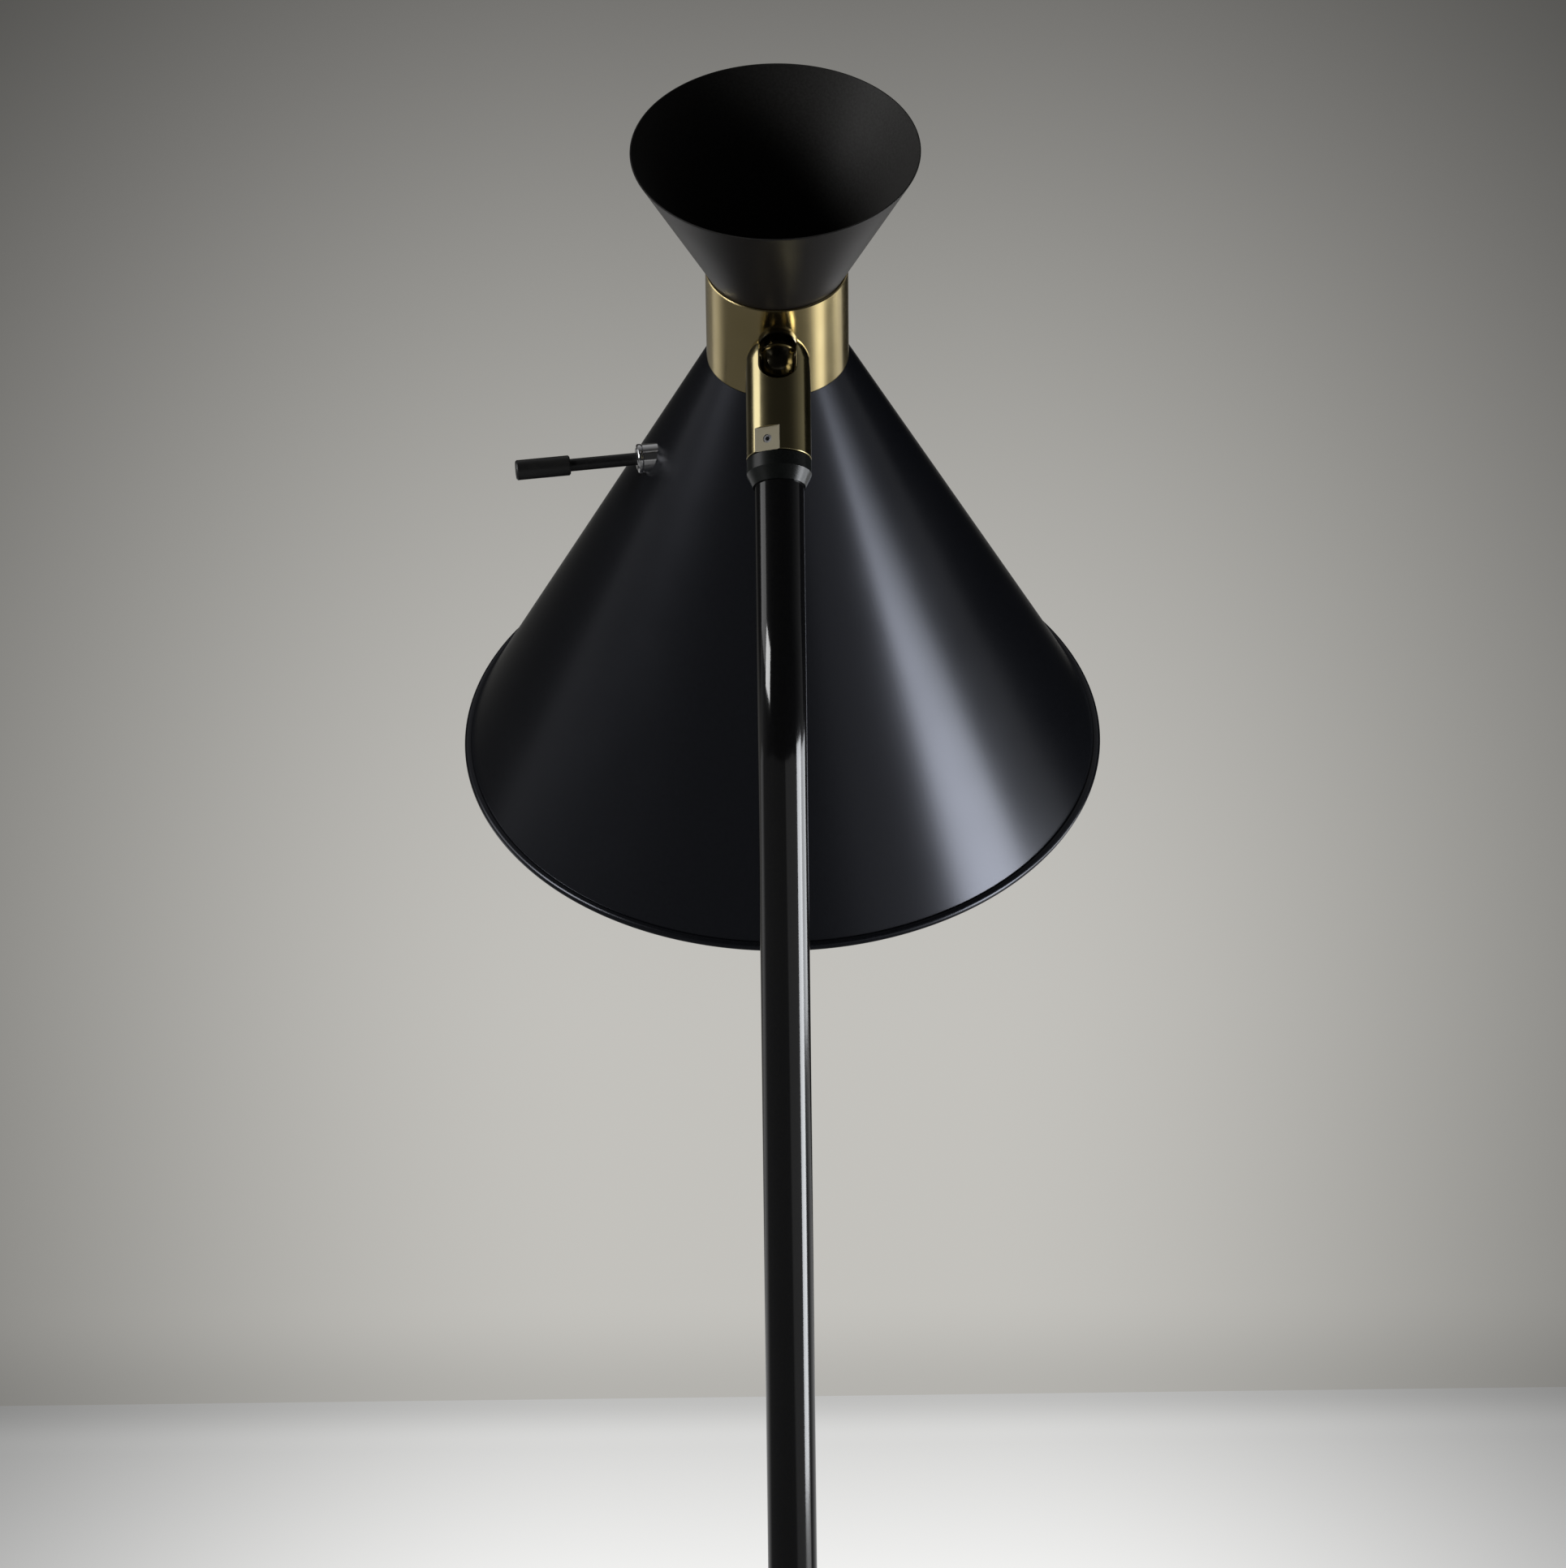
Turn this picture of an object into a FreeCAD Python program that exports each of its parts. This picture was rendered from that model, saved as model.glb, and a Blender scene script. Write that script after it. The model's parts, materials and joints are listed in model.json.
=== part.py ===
import FreeCAD, Part
import math
import os

from FreeCAD import Vector

# Tripod floor lamp: three splayed legs and a hub carry a bent pole, and a slotted swivel at its top holds
# a double-cone shade. Millimetres and degrees, +Z up, floor at z = 0. Every piece is built about the axis
# it was turned on, along +Z, and is then put in its place.

# ---------------------------------------------------------------- driving dimensions
# Stance
PIVOT_HEIGHT = 1425.0
NECK_LEAN = 30.0
NECK_LENGTH = 157.0
BEND_RADIUS = 120.0
SHADE_TILT = 31.0
SEAM_HEIGHT = 800.0

# Tripod
HUB_HEIGHT = 490.0
LEG_SPLAY = 26.0
LEG_ROOT_RADIUS = 12.0
LEG_RADIUS = 8.0
LEG_WALL = 1.2
LEG_TURNS = {"front": 0.0, "left": 120.0, "right": 240.0}
FOOT_RADIUS = 10.5
FOOT_GRIP = 13.0

# Pole
POLE_RADIUS = 11.1
POLE_WALL = 1.2

# Swivel
SLEEVE_RADIUS = 14.65
SLEEVE_LENGTH = 46.6
SLOT_WIDTH = 16.6
SLOT_DEPTH = 12.3
BALL_RADIUS = 10.0
BALL_WIDTH = 14.6
SPIGOT_RADIUS = 10.0
SWIVEL_RANGE = 90.0
PIVOT_SCREW_RADIUS = 2.5

# Shade and its collar, from the mouth plane up along the shade's own axis
MOUTH_RADIUS = 150.0
SHADE_HEIGHT = 233.5
BEAD_RADIUS = 2.2
SHEET = 0.8
COLLAR_RADIUS = 32.5
COLLAR_WALL = 1.2
COLLAR_HEIGHT = 50.0
TOP_RIM_RADIUS = 65.7
TOP_RIM_HEIGHT = 349.8
PIVOT_OFFSET = 47.6
PIVOT_RISE = 31.4

# Switch
SWITCH_DROP = 54.0
SWITCH_TURN = 7.5
SWITCH_REACH = 62.5
SWITCH_ROD_RADIUS = 2.9
KNOB_RADIUS = 4.65
KNOB_LENGTH = 25.0

# Screwed and sliding fits
THREAD_RADIUS = 5.0
THREAD_BORE = 4.0
LEAD_RADIUS = 2.6
SNUG = 0.05
RUNNING = 0.05
SWIVEL_GAP = 0.3
EDGE_BREAK = 0.4

# ---------------------------------------------------------------- values worked out from them
PIVOT_REACH = NECK_LENGTH * math.sin(math.radians(NECK_LEAN))
PIVOT = Vector(0, PIVOT_REACH, PIVOT_HEIGHT)
BEND_CORNER = PIVOT_HEIGHT - NECK_LENGTH * math.cos(math.radians(NECK_LEAN))
BEND_TANGENT = BEND_RADIUS * math.tan(math.radians(NECK_LEAN / 2))
COLLAR_TOP = SHADE_HEIGHT + COLLAR_HEIGHT
PIVOT_AXIAL = SHADE_HEIGHT + PIVOT_RISE
COLLAR_BORE = COLLAR_RADIUS - COLLAR_WALL
BEAD_CENTRE = MOUTH_RADIUS - BEAD_RADIUS
FLARE = (BEAD_CENTRE - COLLAR_RADIUS) / (SHADE_HEIGHT - BEAD_RADIUS)
SWITCH_HEIGHT = SHADE_HEIGHT - SWITCH_DROP
SWITCH_WALL = COLLAR_RADIUS + SWITCH_DROP * FLARE
POLE_BORE = POLE_RADIUS - POLE_WALL
LEG_FALL = math.cos(math.radians(LEG_SPLAY))
FAR = 400.0


# ---------------------------------------------------------------- shapes along +Z
def rod(radius, low, high):
    return Part.makeCylinder(radius, high - low, Vector(0, 0, low))


def tube(radius, bore, low, high):
    return rod(radius, low, high).cut(rod(bore, low, high))


def turned(outline):
    """A solid of revolution from the (radius, height) corners of its half section."""
    corners = [Vector(radius, 0, height) for radius, height in outline]
    face = Part.Face(Part.makePolygon(corners + corners[:1]))
    return face.revolve(Vector(0, 0, 0), Vector(0, 0, 1), 360)


def hexagon(across_flats, low, high):
    corner = across_flats / math.sqrt(3)
    angles = [math.radians(60 * k) for k in range(7)]
    outline = [Vector(corner * math.cos(a), corner * math.sin(a), low) for a in angles]
    return Part.Face(Part.makePolygon(outline)).extrude(Vector(0, 0, high - low))


def nut(across_flats, bore, low, high):
    return hexagon(across_flats, low, high).cut(rod(bore, low, high))


def block(low, high):
    return Part.makeBox(high[0] - low[0], high[1] - low[1], high[2] - low[2], Vector(*low))


def moved(shape, shift):
    copy = shape.copy()
    copy.translate(shift)
    return copy


def aimed(shape, direction):
    """A shape built along +Z, turned about the origin to point along direction."""
    copy = shape.copy()
    copy.Placement = FreeCAD.Placement(Vector(0, 0, 0), FreeCAD.Rotation(Vector(0, 0, 1), direction))
    return copy


def spun(shape, angle, axis=Vector(0, 0, 1)):
    copy = shape.copy()
    copy.rotate(Vector(0, 0, 0), axis, angle)
    return copy


def group(shapes):
    return Part.makeCompound(shapes)


def swept(radius, points, bend):
    """A round lead along straight runs whose corners are rounded to the radius bend."""
    edges = []
    start = points[0]
    for before, corner, after in zip(points, points[1:], points[2:]):
        inward = (before - corner).normalize()
        outward = (after - corner).normalize()
        half = inward.getAngle(outward) / 2
        reach = bend / math.tan(half)
        middle = (inward + outward).normalize() * (bend / math.sin(half) - bend)
        edges.append(Part.LineSegment(start, corner + inward * reach).toShape())
        arc = Part.Arc(corner + inward * reach, corner + middle, corner + outward * reach)
        edges.append(arc.toShape())
        start = corner + outward * reach
    edges.append(Part.LineSegment(start, points[-1]).toShape())
    heading = points[1] - points[0]
    section = Part.Face(Part.Wire(Part.makeCircle(radius, points[0], heading)))
    return Part.Wire(edges).makePipe(section)


# ---------------------------------------------------------------- places
def on_pole(shape):
    """From the hub's frame, origin on the pole's axis at the hub's height."""
    return moved(shape, Vector(0, 0, HUB_HEIGHT))


def on_leg(shape, turn):
    """From a leg's frame, +Z down the leg, origin level with the hub."""
    tipped = spun(shape, 180 + LEG_SPLAY, Vector(1, 0, 0))
    return spun(moved(tipped, Vector(0, LEG_ROOT_RADIUS, HUB_HEIGHT)), turn)


def on_neck(shape):
    """From the neck's frame, +Z up the neck, origin at the tilt pivot."""
    return moved(spun(shape, -NECK_LEAN, Vector(1, 0, 0)), PIVOT)


def on_head(shape):
    """From the shade's frame, +Z up its axis, origin at the middle of its mouth, pole on the -Y side."""
    hung = moved(shape, Vector(0, PIVOT_OFFSET, -PIVOT_AXIAL))
    return moved(spun(hung, SHADE_TILT, Vector(1, 0, 0)), PIVOT)


def on_switch(shape):
    """From the switch's frame, +Z out along its rod, +X up the shade's axis, origin on that axis."""
    tipped = spun(shape, -90, Vector(0, 1, 0))
    return moved(spun(tipped, SWITCH_TURN), Vector(0, 0, SWITCH_HEIGHT))


# ---------------------------------------------------------------- tripod
HUB_TOP = 24.0
HUB_BOTTOM = -30.0
HUB_TOP_RADIUS = 17.0
HUB_FOOT_RADIUS = 38.5
POLE_SEAT = 6.0
NUT_SEAT = -12.0
NUT_ROOM = 11.0
NUT_THICKNESS = 5.0
LEG_SEAT = 9.2
LEG_SCREW_LEVEL = -25.0
LEG_SCREW_RADIUS = 2.5
LEG_SCREW_TIP = 34.6
GLAND_MOUTH = -50.0
GLAND_THROAT = -32.0
GLAND_BORE = 3.5
NIPPLE_FOOT = -24.0
NIPPLE_HEAD = 16.0


def hub_body():
    """Turned steel hub: pole socket on top, nut recess below, three slanting leg sockets."""
    chamfer = 1.5
    body = turned([
        (0, HUB_BOTTOM),
        (HUB_FOOT_RADIUS - chamfer, HUB_BOTTOM),
        (HUB_FOOT_RADIUS, HUB_BOTTOM + chamfer),
        (HUB_FOOT_RADIUS, HUB_BOTTOM + 8),
        (HUB_TOP_RADIUS, HUB_TOP - 6),
        (HUB_TOP_RADIUS, HUB_TOP - chamfer),
        (HUB_TOP_RADIUS - chamfer, HUB_TOP),
        (0, HUB_TOP),
    ])
    body = body.cut(rod(POLE_RADIUS + SNUG, POLE_SEAT, FAR))
    body = body.cut(rod(THREAD_RADIUS + SNUG, -FAR, FAR))
    body = body.cut(rod(NUT_ROOM, -FAR, NUT_SEAT))
    body = on_pole(body)
    for turn in LEG_TURNS.values():
        body = body.cut(on_leg(rod(LEG_RADIUS + SNUG, LEG_SEAT - SNUG, 60), turn))
    return body.cut(group(leg_screw_places(rod(LEG_SCREW_RADIUS + SNUG, LEG_SCREW_TIP, FAR))))


def leg_screw_places(shape):
    """A shape built along +Z, laid outwards in the hub's foot band beside each leg."""
    level = moved(aimed(shape, Vector(0, 1, 0)), Vector(0, 0, LEG_SCREW_LEVEL))
    return [on_pole(spun(level, turn)) for turn in LEG_TURNS.values()]


def leg_screws():
    """Grub screws that hold the legs, in from the hub's foot band."""
    screw = rod(LEG_SCREW_RADIUS, LEG_SCREW_TIP, HUB_FOOT_RADIUS - 0.4)
    return group(leg_screw_places(screw.cut(hexagon(2.5, HUB_FOOT_RADIUS - 2.4, HUB_FOOT_RADIUS))))


def hub_nipple():
    return on_pole(tube(THREAD_RADIUS, THREAD_BORE, NIPPLE_FOOT, NIPPLE_HEAD))


def hub_nut():
    return on_pole(nut(17, THREAD_RADIUS + SNUG, NUT_SEAT - NUT_THICKNESS, NUT_SEAT))


def pole_foot():
    """Plug pressed into the pole's lower end, threaded for the nipple."""
    return on_pole(tube(POLE_BORE - SNUG, THREAD_RADIUS + SNUG, POLE_SEAT, NIPPLE_HEAD))


def cord_gland():
    """Moulded gland screwed on the nipple under the nut, where the mains lead would come in."""
    top = NUT_SEAT - NUT_THICKNESS - 0.2
    return on_pole(turned([
        (THREAD_RADIUS + SNUG, top),
        (9.0, top),
        (9.0, HUB_BOTTOM - 1),
        (7.8, HUB_BOTTOM - 3),
        (5.6, GLAND_MOUTH + 1),
        (4.8, GLAND_MOUTH),
        (GLAND_BORE, GLAND_MOUTH),
        (GLAND_BORE, GLAND_THROAT),
        (THREAD_RADIUS + SNUG, GLAND_THROAT),
    ]))


FOOT_DISTANCE = HUB_HEIGHT / LEG_FALL
LEG_END = FOOT_DISTANCE - 8.6


def leg(turn):
    return on_leg(tube(LEG_RADIUS, LEG_RADIUS - LEG_WALL, LEG_SEAT, LEG_END), turn)


def foot(turn):
    """Rubber cap over the leg's end, cut flat where it stands."""
    cap = rod(FOOT_RADIUS, LEG_END - FOOT_GRIP, FOOT_DISTANCE + FOOT_RADIUS)
    cap = cap.cut(rod(LEG_RADIUS + SNUG, 0, LEG_END + SNUG))
    floor = block((-FAR, -FAR, -FAR), (FAR, FAR, 0))
    return on_leg(cap, turn).cut(floor)


# ---------------------------------------------------------------- pole
FERRULE_TOP = -SLEEVE_LENGTH - SWIVEL_GAP
FERRULE_SHOULDER = FERRULE_TOP - 6.8
FERRULE_END = FERRULE_SHOULDER - 6
POLE_TOP = FERRULE_TOP - 3
SPIGOT_TOP = -20.5
STOP_LEVEL = 5.8 - SLEEVE_LENGTH
STOP_AZIMUTH = -22.6
STOP_SCREW_RADIUS = 2.0
GROOVE_RADIUS = 8.8
COUPLER_RING = 1.5
COUPLER_REACH = 22.0


def along_pole(radius, low, high):
    """A round bar up the pole's centre line from height low, through the bend, to high in the neck's frame."""
    bend_start = BEND_CORNER - BEND_TANGENT
    upright = rod(radius, low, bend_start)
    disc = Part.Face(Part.Wire(Part.makeCircle(radius, Vector(0, 0, bend_start))))
    bend = disc.revolve(Vector(0, BEND_RADIUS, bend_start), Vector(-1, 0, 0), NECK_LEAN)
    neck = on_neck(rod(radius, BEND_TANGENT - NECK_LENGTH, high))
    return upright.fuse([bend, neck]).removeSplitter()


def pole_lower():
    return tube(POLE_RADIUS, POLE_BORE, HUB_HEIGHT + POLE_SEAT, SEAM_HEIGHT - COUPLER_RING)


def pole_coupler():
    """Threaded joint of the two pole sections: a flush ring with a spigot each way."""
    body = rod(POLE_BORE - SNUG, SEAM_HEIGHT - COUPLER_REACH, SEAM_HEIGHT + COUPLER_REACH)
    body = body.fuse(rod(POLE_RADIUS, SEAM_HEIGHT - COUPLER_RING, SEAM_HEIGHT + COUPLER_RING))
    return body.cut(rod(THREAD_RADIUS, 0, PIVOT_HEIGHT))


def pole_upper():
    foot_level = SEAM_HEIGHT + COUPLER_RING
    return along_pole(POLE_RADIUS, foot_level, POLE_TOP).cut(along_pole(POLE_BORE, foot_level, POLE_TOP))


def pole_lead():
    """Lead up the pole, from just above the hub's nipple to the spigot's end."""
    return along_pole(LEAD_RADIUS, HUB_HEIGHT + NIPPLE_HEAD + 4, SPIGOT_TOP)


def neck_ferrule():
    """Black end piece on the neck with the spigot that the swivel turns on, grooved for its stop screw."""
    body = turned([
        (0, FERRULE_END),
        (POLE_RADIUS + 0.8, FERRULE_END),
        (SLEEVE_RADIUS, FERRULE_SHOULDER),
        (SLEEVE_RADIUS, FERRULE_TOP - EDGE_BREAK),
        (SLEEVE_RADIUS - EDGE_BREAK, FERRULE_TOP),
        (SPIGOT_RADIUS, FERRULE_TOP),
        (SPIGOT_RADIUS, SPIGOT_TOP),
        (0, SPIGOT_TOP),
    ])
    body = body.cut(rod(POLE_RADIUS + SNUG, -FAR, POLE_TOP))
    body = body.cut(rod(THREAD_BORE, -FAR, FAR))
    return on_neck(body.cut(stop_groove()))


def stop_groove():
    """Groove round the spigot, as long as the swivel's travel and the stop screw's own width."""
    half_height = STOP_SCREW_RADIUS + 0.3
    section = Part.makePolygon([
        Vector(GROOVE_RADIUS, 0, STOP_LEVEL - half_height),
        Vector(SPIGOT_RADIUS + 1, 0, STOP_LEVEL - half_height),
        Vector(SPIGOT_RADIUS + 1, 0, STOP_LEVEL + half_height),
        Vector(GROOVE_RADIUS, 0, STOP_LEVEL + half_height),
        Vector(GROOVE_RADIUS, 0, STOP_LEVEL - half_height),
    ])
    end_room = 2 + math.degrees(math.asin(STOP_SCREW_RADIUS / GROOVE_RADIUS))
    sweep = 2 * (SWIVEL_RANGE + end_room)
    groove = Part.Face(section).revolve(Vector(0, 0, 0), Vector(0, 0, 1), sweep)
    return spun(groove, -90 + STOP_AZIMUTH - sweep / 2)


# ---------------------------------------------------------------- swivel
SCREW_HEAD_RADIUS = 4.0
SCREW_SEAT = 11.0
WASHER_THICKNESS = 0.9
WASHER_RADIUS = 3.9
FLAT_DISTANCE = 13.4
FLAT_HEIGHT = 11.6
SLEEVE_LEAD_BORE = 3.5


def across(shape):
    return aimed(shape, Vector(1, 0, 0))


def stop_direction(shape):
    return spun(aimed(shape, Vector(0, -1, 0)), STOP_AZIMUTH)


def sleeve_rims(body):
    """The edges where the slot meets the sleeve's outside, and the edge round its foot."""
    rims = []
    for edge in body.Edges:
        middle = edge.valueAt((edge.FirstParameter + edge.LastParameter) / 2)
        reach = math.hypot(middle.x, middle.y) if middle.z < 0 else middle.Length
        in_slot = reach > SLEEVE_RADIUS - SNUG and abs(middle.x) < SLOT_WIDTH / 2 + SNUG
        at_foot = middle.z < SNUG - SLEEVE_LENGTH
        if in_slot or at_foot:
            rims.append(edge)
    return rims


def swivel_sleeve():
    """Brass sleeve with a round end, slotted for the ball, bored for the spigot."""
    half_slot = SLOT_WIDTH / 2
    body = rod(SLEEVE_RADIUS, -SLEEVE_LENGTH, 0).fuse(Part.makeSphere(SLEEVE_RADIUS)).removeSplitter()
    slot_floor = half_slot - SLOT_DEPTH
    body = body.cut(block((-half_slot, -FAR, slot_floor), (half_slot, FAR, FAR)))
    round_end = moved(aimed(rod(half_slot, -FAR, FAR), Vector(0, 1, 0)), Vector(0, 0, slot_floor))
    body = body.cut(round_end)
    body = body.makeFillet(EDGE_BREAK, sleeve_rims(body))
    body = body.cut(rod(SPIGOT_RADIUS + RUNNING, -FAR, SPIGOT_TOP + 0.5))
    body = body.cut(rod(SLEEVE_LEAD_BORE, -FAR, 0))
    body = body.cut(across(rod(PIVOT_SCREW_RADIUS + SNUG, -FAR, FAR)))
    body = body.cut(across(rod(SCREW_HEAD_RADIUS + SNUG, SCREW_SEAT, FAR)))
    body = body.cut(across(rod(SCREW_HEAD_RADIUS + SNUG, -FAR, -SCREW_SEAT)))
    flat = block((-FAR, -FAR, FLAT_DISTANCE), (FAR, FLAT_HEIGHT - SLEEVE_LENGTH, FAR))
    body = body.cut(stop_direction(flat))
    screw_hole = rod(STOP_SCREW_RADIUS + SNUG, 0, FAR)
    return on_neck(body.cut(moved(stop_direction(screw_hole), Vector(0, 0, STOP_LEVEL))))


def stop_screw():
    screw = rod(STOP_SCREW_RADIUS, GROOVE_RADIUS + 0.3, FLAT_DISTANCE - 0.3)
    screw = screw.cut(hexagon(2, FLAT_DISTANCE - 1.8, FLAT_DISTANCE))
    return on_neck(moved(stop_direction(screw), Vector(0, 0, STOP_LEVEL)))


def pivot_screw():
    """Cross screw that the ball tilts on, its head sunk in one ear."""
    screw = rod(PIVOT_SCREW_RADIUS, -SCREW_SEAT, SCREW_SEAT + 2.5)
    screw = screw.fuse(rod(SCREW_HEAD_RADIUS, -SCREW_SEAT - 2.8, -SCREW_SEAT)).removeSplitter()
    return on_neck(across(screw.cut(hexagon(3, -SCREW_SEAT - 2.8, -SCREW_SEAT - 0.9))))


def pivot_nut():
    return on_neck(across(tube(SCREW_HEAD_RADIUS, PIVOT_SCREW_RADIUS + SNUG, SCREW_SEAT, SCREW_SEAT + 2.6)))


def friction_washers():
    """One washer in each gap between the ball's flat and the sleeve's ear."""
    outer = SLOT_WIDTH / 2
    ring = tube(WASHER_RADIUS, PIVOT_SCREW_RADIUS + SNUG, outer - WASHER_THICKNESS, outer)
    return on_neck(group([across(ring), spun(across(ring), 180)]))


FLANGE_RADIUS = 9.0
FLANGE_FACE = 12.5
FLANGE_BACK = FLANGE_FACE + 6
STEM_ROOT_RADIUS = 6.0
STEM_BORE = 3.0
STEM_END = 25.0


def swivel_ball():
    """Brass ball with two flats, its flange against the collar and a hollow threaded stem through the wall."""
    half = BALL_WIDTH / 2
    ball = Part.makeSphere(BALL_RADIUS).common(block((-half, -FAR, -FAR), (half, FAR, FAR)))
    along = Vector(0, 1, 0)
    flange = aimed(turned([
        (0, FLANGE_FACE),
        (FLANGE_RADIUS - EDGE_BREAK, FLANGE_FACE),
        (FLANGE_RADIUS, FLANGE_FACE + EDGE_BREAK),
        (FLANGE_RADIUS, FLANGE_BACK),
        (0, FLANGE_BACK),
    ]), along)
    collar_axis = Vector(0, PIVOT_OFFSET, 0)
    flange = flange.cut(moved(rod(COLLAR_RADIUS, -FAR, FAR), collar_axis))
    body = ball.fuse([aimed(rod(STEM_ROOT_RADIUS, 0, FLANGE_FACE + 1), along), flange])
    body = body.fuse(aimed(rod(THREAD_RADIUS, 0, STEM_END), along))
    body = body.cut(aimed(rod(STEM_BORE, -STEM_BORE, FAR), along))
    body = body.cut(block((-STEM_BORE, -4, -FAR), (STEM_BORE, 4, 0)))
    body = body.cut(across(rod(PIVOT_SCREW_RADIUS + RUNNING, -FAR, FAR)))
    return moved(spun(body, SHADE_TILT, Vector(1, 0, 0)), PIVOT)


# ---------------------------------------------------------------- collar and shades
PLATE_THICKNESS = 3.0
BRIDGE_TOP = COLLAR_TOP - 9.5
NECK_HOLE = THREAD_RADIUS + SNUG


def stem_side(shape):
    """A shape built along +Z, laid along -Y at the level of the pivot."""
    return moved(aimed(shape, Vector(0, -1, 0)), Vector(0, 0, PIVOT_AXIAL))


def collar():
    """Brass tube between the cones, its edges broken, with the hole for the ball's stem."""
    wall = turned([
        (COLLAR_BORE, SHADE_HEIGHT),
        (COLLAR_RADIUS - EDGE_BREAK, SHADE_HEIGHT),
        (COLLAR_RADIUS, SHADE_HEIGHT + EDGE_BREAK),
        (COLLAR_RADIUS, COLLAR_TOP - EDGE_BREAK),
        (COLLAR_RADIUS - EDGE_BREAK, COLLAR_TOP),
        (COLLAR_BORE, COLLAR_TOP),
    ])
    return on_head(wall.cut(stem_side(rod(NECK_HOLE, 0, FAR))))


def collar_floor():
    """Plate in the collar's foot that the shade and the lampholder are clamped to."""
    return on_head(tube(COLLAR_BORE - SNUG, NECK_HOLE, SHADE_HEIGHT, SHADE_HEIGHT + PLATE_THICKNESS))


def collar_bridge():
    """Bar across the collar that the top cone is screwed to."""
    half_width = 10.0
    plate = tube(COLLAR_BORE - SNUG, 2.5 + SNUG, BRIDGE_TOP - PLATE_THICKNESS, BRIDGE_TOP)
    return on_head(plate.common(block((-FAR, -half_width, 0), (FAR, half_width, FAR))))


def stem_nut():
    """Nut on the ball's stem inside the collar, its outer face hollowed to the wall."""
    ring = nut(13, NECK_HOLE, COLLAR_BORE - 4.5, COLLAR_BORE + 1)
    return on_head(stem_side(ring).common(rod(COLLAR_BORE, 0, FAR)))


def top_cone():
    """Open cone that stands in the collar's mouth."""
    seat = COLLAR_BORE - SNUG
    flare = (TOP_RIM_RADIUS - seat) / (TOP_RIM_HEIGHT - COLLAR_TOP)
    foot_radius = seat - flare * (COLLAR_TOP - BRIDGE_TOP)
    across_sheet = SHEET * math.sqrt(1 + flare * flare)
    return on_head(turned([
        (2.5 + SNUG, BRIDGE_TOP),
        (foot_radius, BRIDGE_TOP),
        (TOP_RIM_RADIUS, TOP_RIM_HEIGHT),
        (TOP_RIM_RADIUS - across_sheet, TOP_RIM_HEIGHT),
        (foot_radius + flare * SHEET - across_sheet, BRIDGE_TOP + SHEET),
        (2.5 + SNUG, BRIDGE_TOP + SHEET),
    ]))


def cone_screw():
    """Domed screw inside the top cone, down into the bridge."""
    head = BRIDGE_TOP + SHEET
    screw = turned([
        (0, head - 11),
        (2.5, head - 11),
        (2.5, head),
        (5.5, head),
        (5.2, head + 1.6),
        (3.6, head + 3.0),
        (0, head + 3.4),
    ])
    slot = block((-FAR, -0.6, head + 2.2), (FAR, 0.6, FAR))
    return on_head(screw.cut(slot))


def shade():
    """Spun steel cone with a closed top and a rolled bead round its mouth."""
    across_sheet = SHEET * math.sqrt(1 + FLARE * FLARE)
    cone = turned([
        (BEAD_CENTRE, BEAD_RADIUS),
        (COLLAR_RADIUS, SHADE_HEIGHT),
        (NECK_HOLE, SHADE_HEIGHT),
        (NECK_HOLE, SHADE_HEIGHT - SHEET),
        (COLLAR_RADIUS + FLARE * SHEET - across_sheet, SHADE_HEIGHT - SHEET),
        (BEAD_CENTRE - across_sheet, BEAD_RADIUS),
    ])
    bead = Part.makeTorus(BEAD_CENTRE, BEAD_RADIUS, Vector(0, 0, BEAD_RADIUS))
    cone = cone.fuse(bead).removeSplitter()
    return on_head(cone.cut(on_switch(rod(BUSHING_RADIUS + SNUG, 0, FAR))))


# ---------------------------------------------------------------- lampholder and bulb
HOLDER_TOP = SHADE_HEIGHT - SHEET
HOLDER_RADIUS = 20.5
HOLDER_SPLIT = HOLDER_TOP - 28.7
HOLDER_MOUTH = HOLDER_SPLIT - 41
HOLDER_FLOOR = HOLDER_SPLIT - 5
SCREW_SHELL_RADIUS = 14.1
BULB_RADIUS = 30.0
BULB_LENGTH = 107.0
BULB_TIP = HOLDER_FLOOR - 2.8
CAP_RADIUS = 13.1
GLASS = 0.8


def holder_nipple():
    return on_head(tube(THREAD_RADIUS, THREAD_BORE, HOLDER_TOP - 14, SHADE_HEIGHT + PLATE_THICKNESS + 6))


def holder_nut():
    seat = SHADE_HEIGHT + PLATE_THICKNESS
    return on_head(nut(14, NECK_HOLE, seat, seat + 4))


def socket_cap():
    """Lampholder's domed cap, up against the inside of the shade's top."""
    wall = 1.7
    return on_head(turned([
        (NECK_HOLE, HOLDER_TOP),
        (14, HOLDER_TOP),
        (HOLDER_RADIUS, HOLDER_TOP - 10.7),
        (HOLDER_RADIUS, HOLDER_SPLIT),
        (HOLDER_RADIUS - wall, HOLDER_SPLIT),
        (HOLDER_RADIUS - wall, HOLDER_TOP - 12),
        (12.5, HOLDER_TOP - 3),
        (NECK_HOLE, HOLDER_TOP - 3),
    ]).cut(lead_holes()))


def lead_holes():
    """Two holes through the cap's side for the switch's leads."""
    hole = rod(SWITCH_LEAD_RADIUS + 0.2, 0, FAR)
    level = SWITCH_LEAD_TOP - SWITCH_HEIGHT
    return group([on_switch(lead_side(hole, side, level)) for side in (-1, 1)])


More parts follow.
